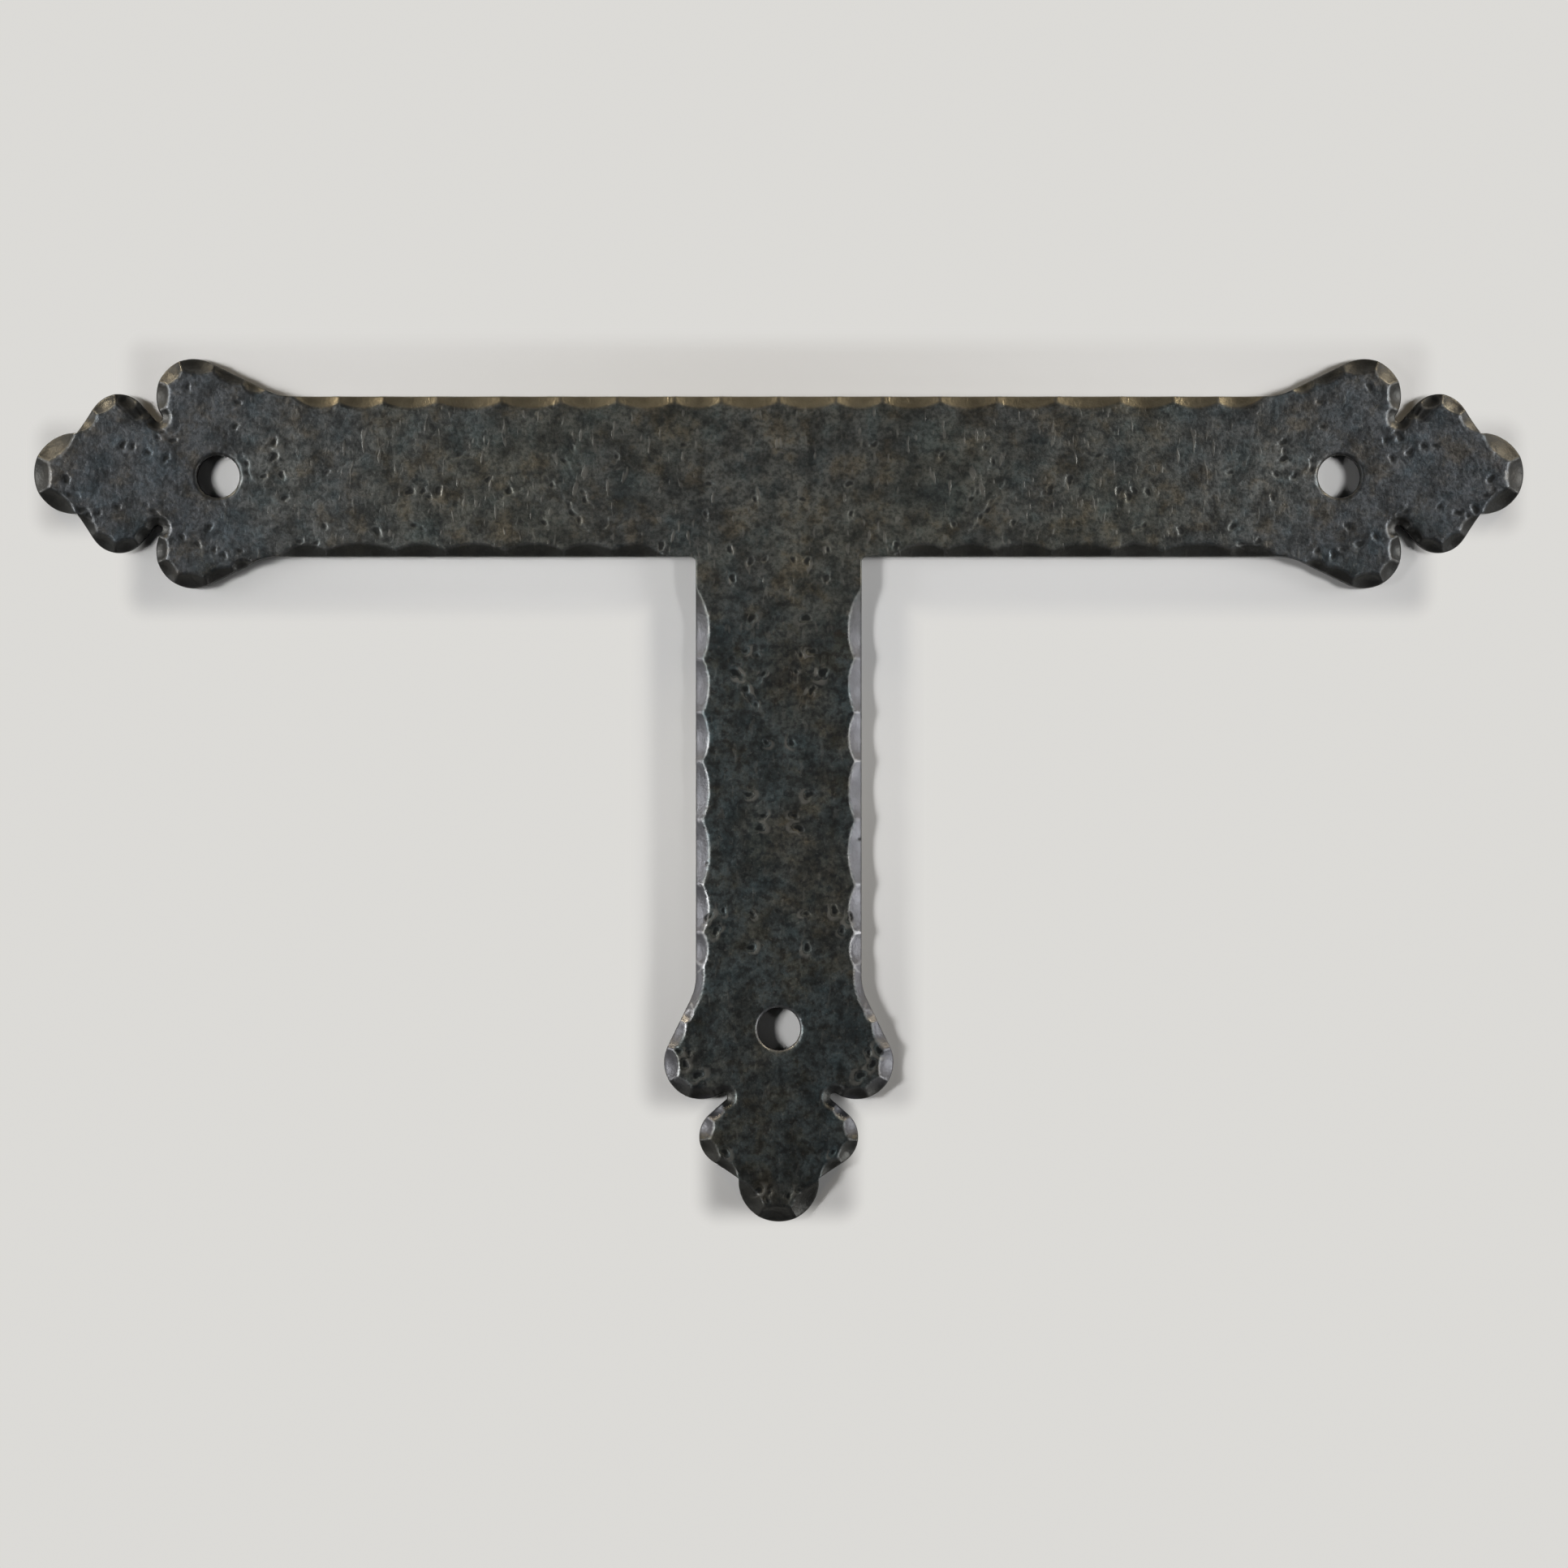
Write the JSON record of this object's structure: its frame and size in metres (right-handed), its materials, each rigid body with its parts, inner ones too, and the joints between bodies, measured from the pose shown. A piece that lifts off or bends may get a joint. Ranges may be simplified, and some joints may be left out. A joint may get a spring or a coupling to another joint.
{
  "type": "tee strap plate",
  "caption": "Flat forged iron tee strap with leaf-shaped finials, hammered bevelled edges and a plain round screw hole in each finial, for the face of a door or gate.",
  "frame": {"origin": "on the flat back face, where the centre lines of the bar and the leg cross", "axes": "+X along the bar, +Y across the bar away from the leg, +Z out of the hammered front face"},
  "size_m": [0.33, 0.1911, 0.005],
  "materials": {
    "forged_iron": "dark waxed forge scale, satin, pitted, paler on worn ridges"
  },
  "bodies": {
    "root": {"tee_strap": "forged_iron"}
  },
  "joints": []
}
